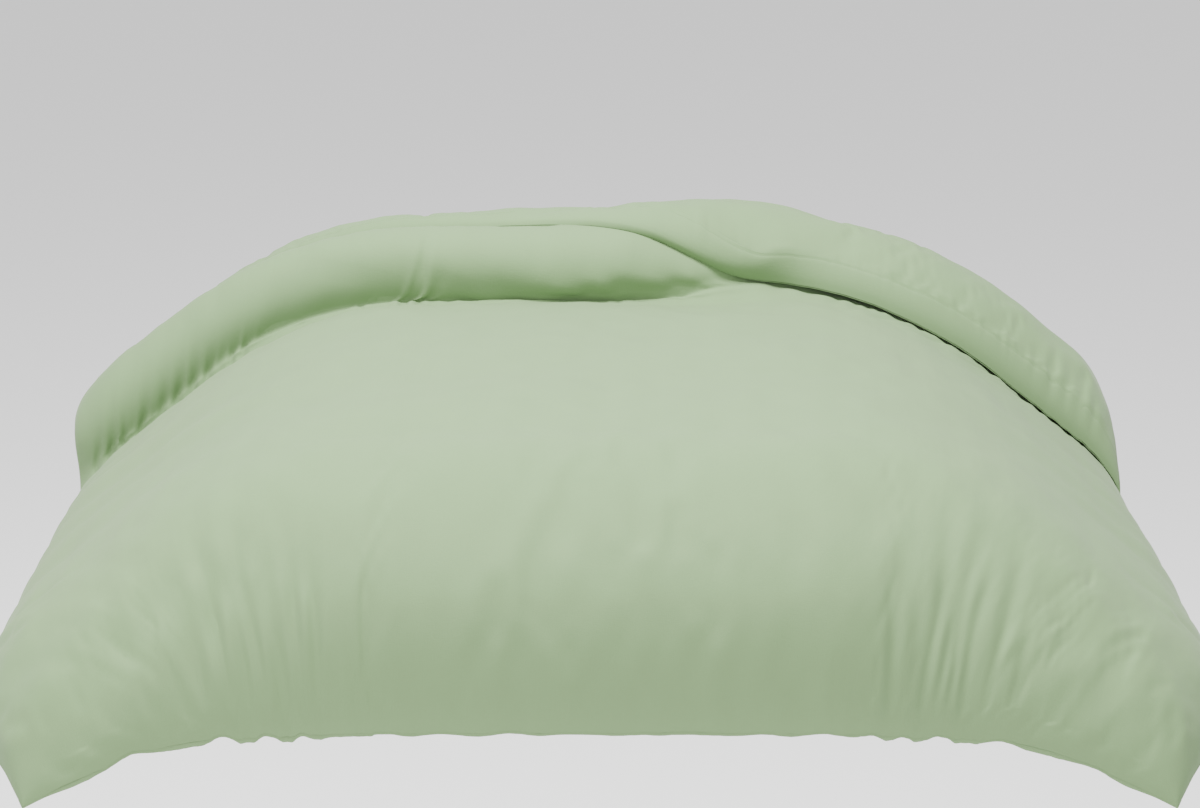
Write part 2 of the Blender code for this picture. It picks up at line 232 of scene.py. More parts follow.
def crumple(x, y, wavelength, seed):
    """Even, undirected waves about 1 high, from 14 directions."""
    random = np.random.RandomState(seed)
    total = np.zeros(np.broadcast(x, y).shape)
    for _ in range(14):
        way, phase = random.uniform(0, math.pi), random.uniform(0, 2 * math.pi)
        number = 2 * math.pi / (wavelength * random.uniform(0.65, 1.5))
        total += np.cos(number * (x * math.cos(way) + y * math.sin(way)) + phase)
    return total / 4


def crease(across, width):
    """A sharp valley with a soft roll on either side."""
    t = across / width
    return -np.exp(-t**2) + 0.45 * np.exp(-((t - 1.9) / 1.1) ** 2) + 0.45 * np.exp(-((t + 1.9) / 1.1) ** 2)


# Furthest that wrinkles go in and out: deeper, they would reach the insert
DEEPEST, HIGHEST = -0.0042, 0.006
# Gathers in the foot drop: place across, length up from the hem, depth as a share, lean, width in metres
GATHERS = (
    (-0.765, 0.20, 0.9, 0.10, 0.010), (-0.700, 0.40, 1.0, 0.06, 0.009), (-0.655, 0.30, 0.8, 0.05, 0.008),
    (-0.622, 0.44, 0.9, 0.04, 0.009), (-0.570, 0.22, 0.5, 0.03, 0.009), (-0.522, 0.42, 0.9, 0.02, 0.009),
    (-0.482, 0.33, 0.8, 0.02, 0.008), (-0.362, 0.26, 0.7, 0.00, 0.011), (-0.250, 0.16, 0.35, 0.0, 0.012),
    (0.330, 0.14, 0.3, 0.0, 0.012), (0.500, 0.34, 0.6, -0.02, 0.010), (0.590, 0.42, 0.9, -0.03, 0.009),
    (0.622, 0.30, 0.8, -0.04, 0.008), (0.648, 0.42, 0.8, -0.05, 0.008), (0.682, 0.36, 1.0, -0.06, 0.009),
    (0.742, 0.38, 0.9, -0.08, 0.009), (0.800, 0.26, 0.8, -0.10, 0.010),
)
# Puckers along the pleat: place across, length up the roll, depth as a share, lean, width
PUCKERS = (
    (-1.090, 0.05, 0.7, 0.3, 0.008), (-1.050, 0.07, 1.0, 0.2, 0.009), (-1.020, 0.05, 0.7, 0.1, 0.007),
    (-0.970, 0.08, 0.9, 0.3, 0.009), (-0.920, 0.06, 0.8, 0.2, 0.008), (-0.880, 0.09, 1.0, 0.3, 0.009),
    (-0.840, 0.06, 0.8, 0.2, 0.008), (-0.800, 0.07, 0.8, 0.3, 0.009), (-0.740, 0.05, 0.7, 0.3, 0.008),
    (-0.710, 0.06, 0.6, 0.4, 0.009), (-0.460, 0.03, 0.5, 0.4, 0.007), (-0.372, 0.09, 1.6, 0.5, 0.009),
    (-0.340, 0.06, 0.9, 0.8, 0.008), (-0.285, 0.04, 0.4, 0.6, 0.010), (0.04, 0.03, 0.4, 0.2, 0.009),
    (0.16, 0.03, 0.4, -0.2, 0.010),
)
# Drape folds at the foot corners: direction round the corner in degrees (90 faces the foot), depth, width
CORNER_FOLDS = {
    -1: ((22, 0.5, 5.0), (36, 0.8, 4.0), (47, 1.0, 3.6), (57, 0.8, 3.0), (66, 0.9, 2.6), (74, 0.6, 2.2)),
    1: ((20, 0.5, 5.0), (33, 0.8, 4.0), (44, 0.9, 3.8), (55, 1.0, 3.0), (64, 0.7, 2.6), (73, 0.8, 2.2)),
}
# Puckers of the turned-back part at its right end: place across, length from the hem, depth, width
FLAP_PUCKERS = (
    (0.900, 0.06, 0.5, 0.009), (0.945, 0.09, 1.0, 0.010), (0.985, 0.06, 0.6, 0.008), (1.020, 0.08, 0.9, 0.010),
    (1.055, 0.06, 0.8, 0.008), (1.095, 0.08, 1.0, 0.009),
)


def lying_relief(u, s, sizes, section):
    """Rise of the face above its smooth shape, as (broad folds, fine wrinkles)."""
    shown = 1 - smooth(s, section.hem - 0.012, section.hem + 0.004)
    broad = 0.0028 * crumple(u, s, 0.34, 3) * smooth(s, 0.02, 0.3)
    broad = broad + 0.0012 * crumple(u * 1.6, s, 0.13, 5)
    across, along = max(abs(u) - REST_HALF_WIDTH, 0), np.maximum(FOOT_DROP - s, 0)
    run = np.hypot(across, along) + 1e-9
    way = np.degrees(np.arctan2(along, across))
    if across > 0:
        deep = sizes.corner_fold * smooth(run, 0.22, 0.85)
        for direction, depth, width in CORNER_FOLDS[-1 if u < 0 else 1]:
            wander = 1.2 * math.sin(direction) * smooth(run, 0.3, 0.8)
            broad = broad + deep * depth * crease(way - direction - wander, width)
        # Round the corners the cloth is drawn in a little between its folds
        broad = broad - 0.2 * deep * smooth(way, 15, 30)
    # A fold goes in no deeper than the filling gives way
    broad = np.maximum(broad, -0.001 - 0.3 * (section.loft(s) - EDGE))
    fine = sizes.crumple * crumple(u, s, 0.030, 11) + 0.6 * sizes.crumple * crumple(u, s, 0.012, 12)
    for place, length, depth, lean, width in GATHERS:
        line = u - place - lean * s - 0.004 * np.sin(s / 0.045 + place * 40)
        fade = (1 - smooth(s, 0.25 * length, length)) * (0.12 + 0.88 * smooth(s, 0, 0.035))
        fine = fine + sizes.gather * depth * fade * crease(line, width * (1 + 1.5 * s / length))
    valley = section.start + 0.10
    for place, length, depth, lean, width in PUCKERS:
        up = s - valley
        line = u - place - lean * np.maximum(up, -0.02)
        fade = smooth(up, -0.13, -0.08) * (1 - smooth(up, 0.2 * length, length))
        fine = fine + sizes.pucker * depth * fade * crease(line, width) * (0.35 + 0.65 * section.share)
    return broad * shown, np.clip(fine, DEEPEST, HIGHEST) * shown


def turned_relief(u, s, sizes, section):
    """Rise of the turned-back part's upper side above its smooth shape."""
    past = s - section.hem
    broad = 0.0022 * crumple(u, s, 0.28, 8) + 0.0010 * crumple(u, s * 1.8, 0.11, 9)
    broad = broad * smooth(section.crease - s, 0, 0.08) * smooth(past, 0.0, 0.05)
    # Wrinkles run along the hem, and the stitching draws the cloth in every few centimetres
    fine = 1.5 * sizes.crumple * crumple(u, s, 0.060, 13) + 0.5 * sizes.crumple * crumple(u, s, 0.012, 14)
    along = crumple(u * 0.35, s, 0.035, 21) * (1 - smooth(past, 0.03, 0.16)) * smooth(past, 0.0, 0.02)
    fine = fine + 0.0011 * along
    drawn = crumple(u, 0 * s, 0.021, 22) * np.exp(-(((past - 0.024) / 0.012) ** 2))
    fine = fine + 0.0012 * drawn * smooth(past, 0.0, 0.012)
    # The hem stands off the bed where it crosses from the roll to the flat, and lies close on the left
    stands = smooth(u, 0.26, 0.38) * (1 - smooth(u, 0.46, 0.66))
    broad = broad + 0.006 * stands * (1 - smooth(past, 0.0, 0.09))
    broad = broad - 0.0022 * (1 - smooth(u, -0.1, 0.1)) * (1 - smooth(past, 0.0, 0.03))
    for place, length, depth, width in FLAP_PUCKERS:
        line = u - place - 0.25 * past
        fade = 1 - smooth(past, 0.3 * length, 1.3 * length)
        fine = fine + sizes.pucker * 0.6 * depth * fade * smooth(past, -0.01, 0.02) * crease(line, width)
    return broad, np.clip(fine, DEEPEST, HIGHEST)


def off_corner(u, along):
    """0 close to a corner of the cloth, where the loop and the tie fill the cover, and 1 away from it."""
    return smooth(np.hypot(HALF - abs(u), np.minimum(along, COVER - along)), 0.03, 0.10)


def relief(section, kind, place, sizes, skin):
    """How far a skin is moved along the height, as (broad, fine). The hidden skin follows the shown one
    only near the seams, where the two are sewn together."""
    zero = np.zeros_like(place)
    if sizes is None:
        return zero, zero
    edge = 1 - smooth(HALF - abs(section.u), 0.0, 0.05)
    free = off_corner(section.u, section.along(kind, place))
    if kind == "turning":
        fine = sizes.crumple * crumple(section.u, place * 0.08, 0.03, 15)
        return (zero, -fine) if skin == "back" else (zero, zero)
    if kind == "lying":
        broad, fine = (part * free for part in lying_relief(section.u, place, sizes, section))
        hem = 1 - smooth(place, 0.0, 0.05)
        if skin == "face":
            return broad, fine
        near = np.maximum(edge, hem)
        return broad * near, fine * near
    broad, fine = (part * free for part in turned_relief(section.u, place, sizes, section))
    if skin == "back":
        return -broad, -fine
    near = np.maximum(edge, 1 - smooth(place - section.hem, 0.0, 0.05))
    return -broad * near, -fine * near


# -------- skins of the cover

SKIN_DEEP = 0.0045  # From a skin's shown side to its hidden one


def column_places():
    """Places across the duvet, closer together where the cloth is gathered."""
    fine = np.linspace(-HALF, HALF, 4001)
    density = np.full_like(fine, 1.0)
    for low, high, more in ((-0.82, -0.33, 1.4), (0.46, 0.86, 1.4), (-1.12, -0.82, 0.7), (0.86, 1.12, 0.9)):
        density += more * smooth(fine, low - 0.03, low + 0.01) * (1 - smooth(fine, high - 0.01, high + 0.03))
    density += 2.0 * smooth(np.abs(fine), HALF - 0.02, HALF)
    total = np.concatenate([[0], np.cumsum((density[1:] + density[:-1]) / 2)])
    return np.interp(np.linspace(0, total[-1], 433), total, fine)


def spread(start, end, count):
    return list(np.linspace(start, end, count + 1)[1:])


def kinds_of(section, detail):
    """Rows of one skin. detail is its (shown lying, doubled, turned) fineness."""
    lying, doubled, turned = detail
    low = [0.0] + spread(0, 0.02, 4 * lying) + spread(0.02, FOOT_DROP, 18 * lying)
    low += spread(FOOT_DROP, section.start - 0.05, 16 * lying)
    low += spread(section.start - 0.05, section.hem, 20 * lying)

    def beyond(fineness):
        return spread(section.hem, section.hem + 0.04, 6 * fineness) + spread(
            section.hem + 0.04, section.crease, 13 * fineness
        )

    back = [section.crease] + list(reversed(beyond(turned)[:-1])) + [section.hem]
    turning = [math.pi * k / (5 * turned) for k in range(1, 5 * turned)]
    return (
        ("lying", np.array(low + beyond(doubled))), ("turning", np.array(turning)), ("turned", np.array(back)),
    )


def skin_points(skin, sizes, detail, places, settled=None):
    """Outer and inner points of a skin on its grid of rows and columns, and each one's place on the
    flat cloth."""
    outer, inner, flat = [], [], []
    for u in places:
        section = Section(u)
        ends = [], [], []
        for kind, place in kinds_of(section, detail):
            loft = section.thickness(kind, place)
            broad, fine = relief(section, kind, place, sizes, skin)
            deep = np.minimum(SKIN_DEEP, 0.42 * loft)
            out, sign = (loft, 1) if skin == "face" else (0 * loft, -1)
            near = np.clip(1 - (loft - EDGE) / 0.02, 0, 1)
            along = section.along(kind, place)
            if settled:
                # The rows change their spacing here, and with it how much the simulation keeps
                even = 1 - np.exp(-(((along - section.start + 0.05) / 0.04) ** 2))
                rise = 0.8 * settled.at(skin, u, along) * even * off_corner(u, along)
                fine = sign * np.clip(sign * fine + rise, DEEPEST, HIGHEST + 0.002)
            inside = out - sign * deep + broad + fine * near
            for points, height in ((ends[0], out + broad + fine), (ends[1], inside)):
                points.append(section.points(kind, place, height))
            ends[2].append(np.stack([np.full_like(place, u), along], -1))
        for kept, made in zip((outer, inner, flat), ends):
            kept.append(np.concatenate(made))
    return tuple(np.stack(part, axis=1) for part in (outer, inner, flat))


def cells(grid):
    """Rings of four round the grid's cells."""
    return np.stack([grid[:-1, :-1], grid[:-1, 1:], grid[1:, 1:], grid[1:, :-1]], -1).reshape(-1, 4).tolist()


def walls(top, low):
    """Rings of four that join two grids round the rim."""
    top, low = (
        np.concatenate([grid[0], grid[1:, -1], grid[-1, -2::-1], grid[-2:0:-1, 0]]) for grid in (top, low)
    )
    return np.stack([np.roll(top, -1), top, low, np.roll(low, -1)], -1).tolist()


def closed_skin(name, outer, inner, flat, facing, coarse=3):
    """A closed shell from two grids: the shown side at full detail and the hidden one coarser, sewn
    together round the rim. facing is 1 where the shown side is seen with the rows running up and the
    columns to the right."""
    rows, cols = outer.shape[:2]
    points = np.concatenate([outer.reshape(-1, 3), inner.reshape(-1, 3)])
    shown = np.arange(rows * cols).reshape(rows, cols)
    hidden = shown + rows * cols
    faces = cells(shown)
    picked_rows = sorted({*range(0, rows, coarse), rows - 1})
    picked_cols = sorted({*range(0, cols, coarse), cols - 1})
    for i, k in zip(picked_rows, picked_rows[1:]):
        for j, m in zip(picked_cols, picked_cols[1:]):
            low = [hidden[i, c] for c in (range(j, m) if i == 0 else (j,))]
            right = [hidden[r, m] for r in (range(i, k) if m == cols - 1 else (i,))]
            high = [hidden[k, c] for c in (range(m, j, -1) if k == rows - 1 else (m,))]
            left = [hidden[r, j] for r in (range(k, i, -1) if j == 0 else (k,))]
            faces.append([int(v) for v in low + right + high + left][::-1])
    faces += walls(shown, hidden)
    if facing < 0:
        faces = [ring[::-1] for ring in faces]
    return mesh_piece(name, points, faces, np.concatenate([flat.reshape(-1, 2)] * 2))


def mesh_piece(name, points, faces, flat=None, sharp=50):
    """An object from points and faces, smooth but for its hard edges, with its flat places as UVs in
    metres. Points that no face uses are dropped."""
    used = np.zeros(len(points), bool)
    used[np.concatenate([np.asarray(face) for face in faces])] = True
    index = np.cumsum(used) - 1
    faces = [[int(index[v]) for v in face] for face in faces]
    mesh = bpy.data.meshes.new(name)
    mesh.from_pydata(points[used].tolist(), [], faces)
    mesh.shade_smooth()
    mesh.set_sharp_from_angle(angle=math.radians(sharp))
    if flat is not None:
        layer = mesh.uv_layers.new(name="flat")
        corners = np.empty(len(mesh.loops), np.int32)
        mesh.loops.foreach_get("vertex_index", corners)
        layer.data.foreach_set("uv", flat[used][corners].astype(np.float32).ravel())
    obj = bpy.data.objects.new(name, mesh)
    bpy.context.scene.collection.objects.link(obj)
    return obj


# -------- cloth simulation

DENSE = 4  # Cells read between two points of the simulated grid
ROWS_UNDER_FLAP = 18


class Settled:
    """Wrinkles of a cover blown up a little with spare cloth in it, held at its seams and where it is
    pressed flat. Only what differs from the broad shape is kept, and no more than the cap."""

    def __init__(self, sizes, places):
        self.places = places[::3]
        self.rise = {}
        grids = {skin: skin_points(skin, None, (1, 1, 1), self.places) for skin in ("face", "back")}
        obj, held = self.cover(grids)
        self.blow(obj, held, sizes)
        start = np.concatenate([grids[skin][0].reshape(-1, 3) for skin in grids])
        moved = self.read(obj)
        normals = np.empty(len(start) * 3)
        obj.data.vertices.foreach_get("normal", normals)
        rise = ((moved - start) * normals.reshape(-1, 3)).sum(1)
        bpy.data.objects.remove(obj)
        rows = grids["face"][0].shape[0]
        half = rows * len(self.places)
        for skin, part in (("face", rise[:half]), ("back", rise[half:])):
            part = part.reshape(rows, -1)
            fine = np.clip(part - softly(part, 3), -sizes.sim_cap, sizes.sim_cap)
            self.rise[skin] = dense(fine), dense(grids[skin][2][..., 1])

    def cover(self, grids):
        """The closed cover, and how firmly each point is held."""
        face, back = grids["face"][0], grids["back"][0]
        rows, cols = face.shape[:2]
        top = np.arange(rows * cols).reshape(rows, cols)
        low = top + rows * cols
        faces = cells(top) + [ring[::-1] for ring in cells(low)] + walls(top, low)
        points = np.concatenate([face.reshape(-1, 3), back.reshape(-1, 3)])
        obj = mesh_piece("cover_sim", points, faces, sharp=180)
        held = np.zeros((2, rows, cols))
        held[:, [0, -1], :] = held[:, :, [0, -1]] = 1
        lying = len(kinds_of(Section(0.0), (1, 1, 1))[0][1])
        held[0, lying - ROWS_UNDER_FLAP :, :] = 1
        held[1, :lying, :] = 1
        return obj, held.ravel()

    def blow(self, obj, held, sizes):
        group = obj.vertex_groups.new(name="held")
        for index in np.nonzero(held)[0]:
            group.add([int(index)], float(held[index]), "REPLACE")
        cloth = obj.modifiers.new("cloth", "CLOTH")
        settings = cloth.settings
        settings.quality = 5
        settings.mass = 0.25
        settings.tension_stiffness = settings.compression_stiffness = 12
        settings.shear_stiffness = 4
        settings.bending_stiffness = 0.02
        settings.use_pressure = True
        settings.uniform_pressure_force = 4
        settings.shrink_min = -0.035
        settings.vertex_group_mass = group.name
        settings.effector_weights.gravity = 0
        cloth.collision_settings.use_collision = False
        cloth.point_cache.frame_start, cloth.point_cache.frame_end = 1, sizes.sim_frames
        for step in range(1, sizes.sim_frames + 1):
            bpy.context.scene.frame_set(step)

    def read(self, obj):
        shape = obj.evaluated_get(bpy.context.evaluated_depsgraph_get()).to_mesh()
        points = np.empty(len(shape.vertices) * 3)
        shape.vertices.foreach_get("co", points)
        return points.reshape(-1, 3)

    def at(self, skin, u, along):
        """The rise at these places of one column of the flat cloth."""
        if skin not in self.rise:
            return np.zeros_like(along)
        fine, places_along = self.rise[skin]
        across = np.interp(u, self.places, np.arange(len(self.places))) * DENSE
        left = min(int(across), fine.shape[1] - 2)
        share = across - left
        two = [np.interp(along, places_along[:, c], fine[:, c]) for c in (left, left + 1)]
        return two[0] * (1 - share) + two[1] * share


def softly(grid, reach):
    """The grid with its detail under about this many cells taken out."""
    kernel = np.exp(-((np.arange(-2 * reach, 2 * reach + 1) / reach) ** 2))
    kernel /= kernel.sum()
    for _ in range(2):
        padded = np.pad(grid, ((2 * reach, 2 * reach), (0, 0)), mode="edge")
        grid = sum(k * padded[i : i + grid.shape[0]] for i, k in enumerate(kernel)).T
    return grid


def dense(grid):
    """The grid with DENSE cells for each one, on a smooth curve through its points."""
    for _ in range(2):
        count = grid.shape[0]
        place = np.arange((count - 1) * DENSE + 1) / DENSE
        i = np.minimum(place.astype(int), count - 2)
        grid = between(grid, np.gradient(grid, axis=0), i, (place - i)[:, None]).T
    return grid


# -------- materials

def linear(hexed):
    """The linear RGBA of an sRGB hex colour."""
    values = [int(hexed[i : i + 2], 16) / 255 for i in (1, 3, 5)]
    return (*[v / 12.92 if v <= 0.04045 else ((v + 0.055) / 1.055) ** 2.4 for v in values], 1.0)


def node(tree, kind, inputs=(), **settings):
    """Adds a node, sets its settings, and sets or links its inputs by name or number."""
    made = tree.nodes.new(kind)
    for key, value in settings.items():
        setattr(made, key, value)
    for key, value in dict(inputs).items():
        if isinstance(value, bpy.types.NodeSocket):
            tree.links.new(value, made.inputs[key])
        else:
            made.inputs[key].default_value = value
    return made


def shader_of(name, colour, roughness, metallic=0.0, sheen=0.0):
    made = bpy.data.materials.new(name)
    made.use_nodes = True
    shader = made.node_tree.nodes["Principled BSDF"]
    shader.inputs["Base Color"].default_value = colour
    shader.inputs["Roughness"].default_value = roughness
    shader.inputs["Metallic"].default_value = metallic
    shader.inputs["Sheen Weight"].default_value = sheen
    shader.inputs["Sheen Roughness"].default_value = 0.5
    return made, made.node_tree, shader


def microfibre(name, colour):
    """Brushed polyester microfibre: a fine matt plain weave with a soft nap and slightly uneven dye."""
    made, tree, shader = shader_of(name, colour, 0.86, sheen=0.12)
    shader.inputs["Sheen Tint"].default_value = linear("#E8F0E0")
    place = node(tree, "ShaderNodeUVMap", uv_map="flat").outputs["UV"]
    # Dye: soft clouds about 90 mm across, 2% lighter or darker
    clouds = node(tree, "ShaderNodeTexNoise", {"Vector": place, "Scale": 11.0, "Detail": 3.0, "Roughness": 0.6})
    # Slubs: thicker threads about 12 mm long and 1 mm wide, along the warp and across
    slubs = []
    for stretch in ((80.0, 1000.0, 1.0), (1000.0, 80.0, 1.0)):
        scaled = node(tree, "ShaderNodeVectorMath", {0: place, 1: stretch}, operation="MULTIPLY")
        slubs.append(node(
            tree, "ShaderNodeTexNoise", {"Vector": scaled.outputs[0], "Scale": 1.0, "Detail": 2.0}
        ).outputs["Fac"])
    both = node(tree, "ShaderNodeMath", {0: slubs[0], 1: slubs[1]}, operation="ADD").outputs[0]
    shade = node(
        tree, "ShaderNodeMath", {0: clouds.outputs["Fac"], 1: 0.08, 2: 0.94}, operation="MULTIPLY_ADD"
    )
    thread = node(tree, "ShaderNodeMath", {0: both, 1: 0.05, 2: -0.03}, operation="MULTIPLY_ADD")
    value = node(tree, "ShaderNodeMath", {0: shade.outputs[0], 1: thread.outputs[0]}, operation="ADD")
    dyed = node(tree, "ShaderNodeHueSaturation", {"Value": value.outputs[0], "Color": colour})
    tree.links.new(dyed.outputs[0], shader.inputs["Base Color"])
    # Nap and weave: threads 0.45 mm apart, too fine to show but in the shine, over a 4 mm unevenness
    nap = node(tree, "ShaderNodeTexNoise", {"Vector": place, "Scale": 260.0, "Detail": 4.0, "Roughness": 0.65})
    height = node(tree, "ShaderNodeMath", {0: nap.outputs["Fac"], 1: both}, operation="ADD")
    bump = node(tree, "ShaderNodeBump", {"Strength": 0.35, "Distance": 0.0006, "Height": height.outputs[0]})
    tree.links.new(bump.outputs[0], shader.inputs["Normal"])
    return made


def woven(name, colour, pitch, roughness=0.8, sheen=0.1):
    """A plain weave with its threads this far apart, on Object coordinates."""
    made, tree, shader = shader_of(name, colour, roughness, sheen=sheen)
    place = node(tree, "ShaderNodeTexCoord").outputs["Object"]
    waves = [
        node(
            tree, "ShaderNodeTexWave", {"Vector": place, "Scale": 0.314 / pitch}, bands_direction=way
        ).outputs["Fac"]
        for way in ("X", "Z")
    ]
    height = node(tree, "ShaderNodeMath", {0: waves[0], 1: waves[1]}, operation="ADD")
    bump = node(tree, "ShaderNodeBump", {"Strength": 0.3, "Distance": 0.0002, "Height": height.outputs[0]})
    tree.links.new(bump.outputs[0], shader.inputs["Normal"])
    return made


def zinc(name):
    """Die-cast zinc alloy, tumbled bright, with faint unevenness."""
    made, tree, shader = shader_of(name, linear("#B9BBB6"), 0.28, metallic=1.0)
    place = node(tree, "ShaderNodeTexCoord").outputs["Object"]
    # Tumbling marks about 1 mm across
    marks = node(tree, "ShaderNodeTexNoise", {"Vector": place, "Scale": 900.0, "Detail": 3.0})
    rough = node(tree, "ShaderNodeMath", {0: marks.outputs["Fac"], 1: 0.15, 2: 0.2}, operation="MULTIPLY_ADD")
    tree.links.new(rough.outputs[0], shader.inputs["Roughness"])
    return made


def plain(*values):
    """A material of one colour and roughness."""
    return shader_of(*values)[0]


def material(make, name, *values):
    """The material of this name, made the first time that it is asked for."""
    return bpy.data.materials.get(name) or make(name, *values)


def finished(obj, made, body="duvet"):
    obj.data.materials.clear()
    obj.data.materials.append(made)
    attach(obj, body)
    return obj


# -------- settings

def length(name, description, default):
    return FloatProperty(name=name, description=description, default=default, unit="LENGTH")


class DuvetSizes(bpy.types.PropertyGroup):
    gather: length("Gathers", "Depth of the gathers in the foot drop", 0.0050)
    corner_fold: length("Corner folds", "Depth of the drape folds round the foot corners", 0.0110)
    pucker: length("Puckers", "Depth of the puckers along the pleat", 0.0066)
    crumple: length("Crumple", "Height of the finest wrinkles", 0.00022)
    hem_width: length("Hem", "Width of the folded hem at the head", 0.022)
    stitch_pitch: length("Stitch pitch", "Distance from stitch to stitch", 0.004)
    thread: length("Thread", "Thickness of the sewing thread", 0.0005)
    tooth_pitch: length("Tooth pitch", "Distance from tooth to tooth of the zip coil", 0.0014)
    sim_frames: IntProperty(name="Frames", description="Length of the cloth simulation", default=20, min=1)
    sim_cap: length("Cap", "Furthest that the simulation may move the cloth", 0.006)


def colour_property(name, description, hexed):
    return FloatVectorProperty(name=name, description=description, default=linear(hexed), size=4,
                               subtype="COLOR", min=0, max=1)


class DuvetColours(bpy.types.PropertyGroup):
    cloth: colour_property("Cloth", "Dye of the cover", "#6A8559")
    thread: colour_property("Thread", "Sewing thread of the hem", "#627B52")
    tape: colour_property("Zip", "Zip tape and coil", "#5D754C")
    label: colour_property("Label", "Care label", "#F0F0EC")
    insert: colour_property("Insert", "Cotton of the insert", "#F1F1ED")
    floor: colour_property("Floor", "Paper that the bed stands on", "#F6F6F6")


def sizes_of(context):
    return context.scene.duvet_sizes


def colours_of(context):
    return context.scene.duvet_colours


def cloth_of(context):
    return material(microfibre, "brushed_microfibre", colours_of(context).cloth)


# -------- pieces

FACE_DETAIL = (2, 1, 1)
BACK_DETAIL = (1, 1, 2)


class DUVET_OT_cover(bpy.types.Operator):
    """Make the cover: the face over the bed, and the back that shows where the head end is turned back"""
    bl_idname = "duvet.cover"
    bl_label = "Cover"

    def execute(self, context):
        sizes, places = sizes_of(context), column_places()
        settled = Settled(sizes, places)
        for skin, detail, facing in (("face", FACE_DETAIL, 1), ("back", BACK_DETAIL, -1)):
            outer, inner, flat = skin_points(skin, sizes, detail, places, settled)
            obj = closed_skin(f"{skin}_cloth", outer, inner, flat, facing)
            finished(obj, cloth_of(context))
            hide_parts(f"cover_{skin}_panel")
        return {"FINISHED"}


def back_strip(sizes, places, row_places, on_foot, height):
    """Points on the outside of the back panel, from the foot or the head hem, for each place across and
    each distance in from the hem. height(distance) is off the cloth."""
    grid = []
    for u in places:
        section = Section(u)
        past = np.array(row_places)
        place = past if on_foot else section.hem + past
        kind = "lying" if on_foot else "turned"
        broad, fine = relief(section, kind, place, sizes, "back")
        grid.append(section.points(kind, place, broad + fine - height(past)))
    return np.stack(grid, axis=1)


class DUVET_OT_hems(bpy.types.Operator):
    """Make the folded hem at the head with its topstitching, and the facing at the foot"""
    bl_idname = "duvet.hems"
    bl_label = "Hems"

    def execute(self, context):
        sizes, places = sizes_of(context), column_places()
        wide = sizes.hem_width
        stitch_at = wide - 0.003

        def raised(past):
            """Height of the folded cloth: rounded at its edges, drawn down along the stitching."""
            edges = rounded(past, 0.002) * rounded(wide - past, 0.0015)
            groove = np.exp(-(((past - stitch_at) / 0.0016) ** 2))
            return 0.0003 + 0.0021 * edges * (1 - 0.75 * groove)

        pasts = [0, 0.0006, 0.0016, 0.004, 0.008, 0.013, wide - 0.006, wide - 0.0045, stitch_at,
                 wide - 0.0018, wide - 0.0008, wide]
        for name, on_foot, node_name in (("hem_band", False, "head_hem_band"), ("facing", True, "foot_facing")):
            rows = pasts if on_foot else pasts[::-1]
            outer = back_strip(sizes, places, rows, on_foot, raised)
            inner = back_strip(sizes, places, rows, on_foot, lambda past: 0.0001 + 0 * past)
            flat = np.stack(np.broadcast_arrays(
                np.array(places)[None, :], np.array(rows)[:, None] + (0 if on_foot else 3)
            ), -1)
            obj = closed_skin(name, outer, inner, flat, -1, coarse=1)
            finished(obj, cloth_of(context))
            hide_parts(node_name)
        # Polyester sewing thread, two plies
        thread = material(plain, "sewing_thread", colours_of(context).thread, 0.6)
        finished(self.stitches(sizes, places, stitch_at, raised), thread)
        return {"FINISHED"}

    def stitches(self, sizes, places, stitch_at, raised):
        """A row of short stitches, each sinking into the cloth at its ends."""
        radius, length = sizes.thread / 2, 0.75 * sizes.stitch_pitch
        above = back_strip(sizes, places, [stitch_at], False, lambda past: raised(past) + 0.6 * radius)[0]
        under = back_strip(sizes, places, [stitch_at], False, lambda past: 0 * past)[0]
        run = np.concatenate([[0], np.cumsum(np.linalg.norm(np.diff(above, axis=0), axis=1))])
        at = np.arange(0.004, run[-1] - 0.004, sizes.stitch_pitch)

        def along(values, where):
            return np.stack([np.interp(where, run, values[:, axis]) for axis in range(3)], -1)

        middle, way = along(above, at), along(above, at + 0.001) - along(above, at - 0.001)
        up = middle - along(under, at)
        way /= np.linalg.norm(way, axis=1, keepdims=True)
        up -= way * (up * way).sum(axis=1, keepdims=True)
        up /= np.linalg.norm(up, axis=1, keepdims=True)
        side = np.cross(way, up)
        points, faces, around = [], [], 6
        # Share along the stitch, share of the radius, lift in radii
        rings = (
            (-0.5, 0.55, -1.2), (-0.38, 1.0, -0.3), (0.0, 1.05, 0.15), (0.38, 1.0, -0.3), (0.5, 0.55, -1.2)
        )
        for k in range(len(at)):
            first = len(points)
            for share, swell, lift in rings:
                for n in range(around):
                    turn = 2 * math.pi * n / around
                    points.append(
                        middle[k] + way[k] * share * length
                        + side[k] * radius * swell * math.cos(turn)
                        + up[k] * (radius * swell * math.sin(turn) + lift * radius)
                    )
            for r in range(len(rings) - 1):
                for n in range(around):
                    m = (n + 1) % around
                    a = first + r * around
                    faces.append([a + n, a + around + n, a + around + m, a + m])
            faces.append([first + n for n in range(around)])
            faces.append([first + (len(rings) - 1) * around + n for n in reversed(range(around))])
        return outward(mesh_piece("topstitching", np.array(points), faces))


def outward(obj):
    """Turns every face of the object's closed shells outwards."""
    work = bmesh.new()
    work.from_mesh(obj.data)
    bmesh.ops.recalc_face_normals(work, faces=work.faces)
    work.to_mesh(obj.data)
    work.free()
    return obj


INSERT_CLEAR = 0.0125  # How far the quilt stays inside the cover's loft, so that no fold reaches it
QUILT_PITCH = 0.372


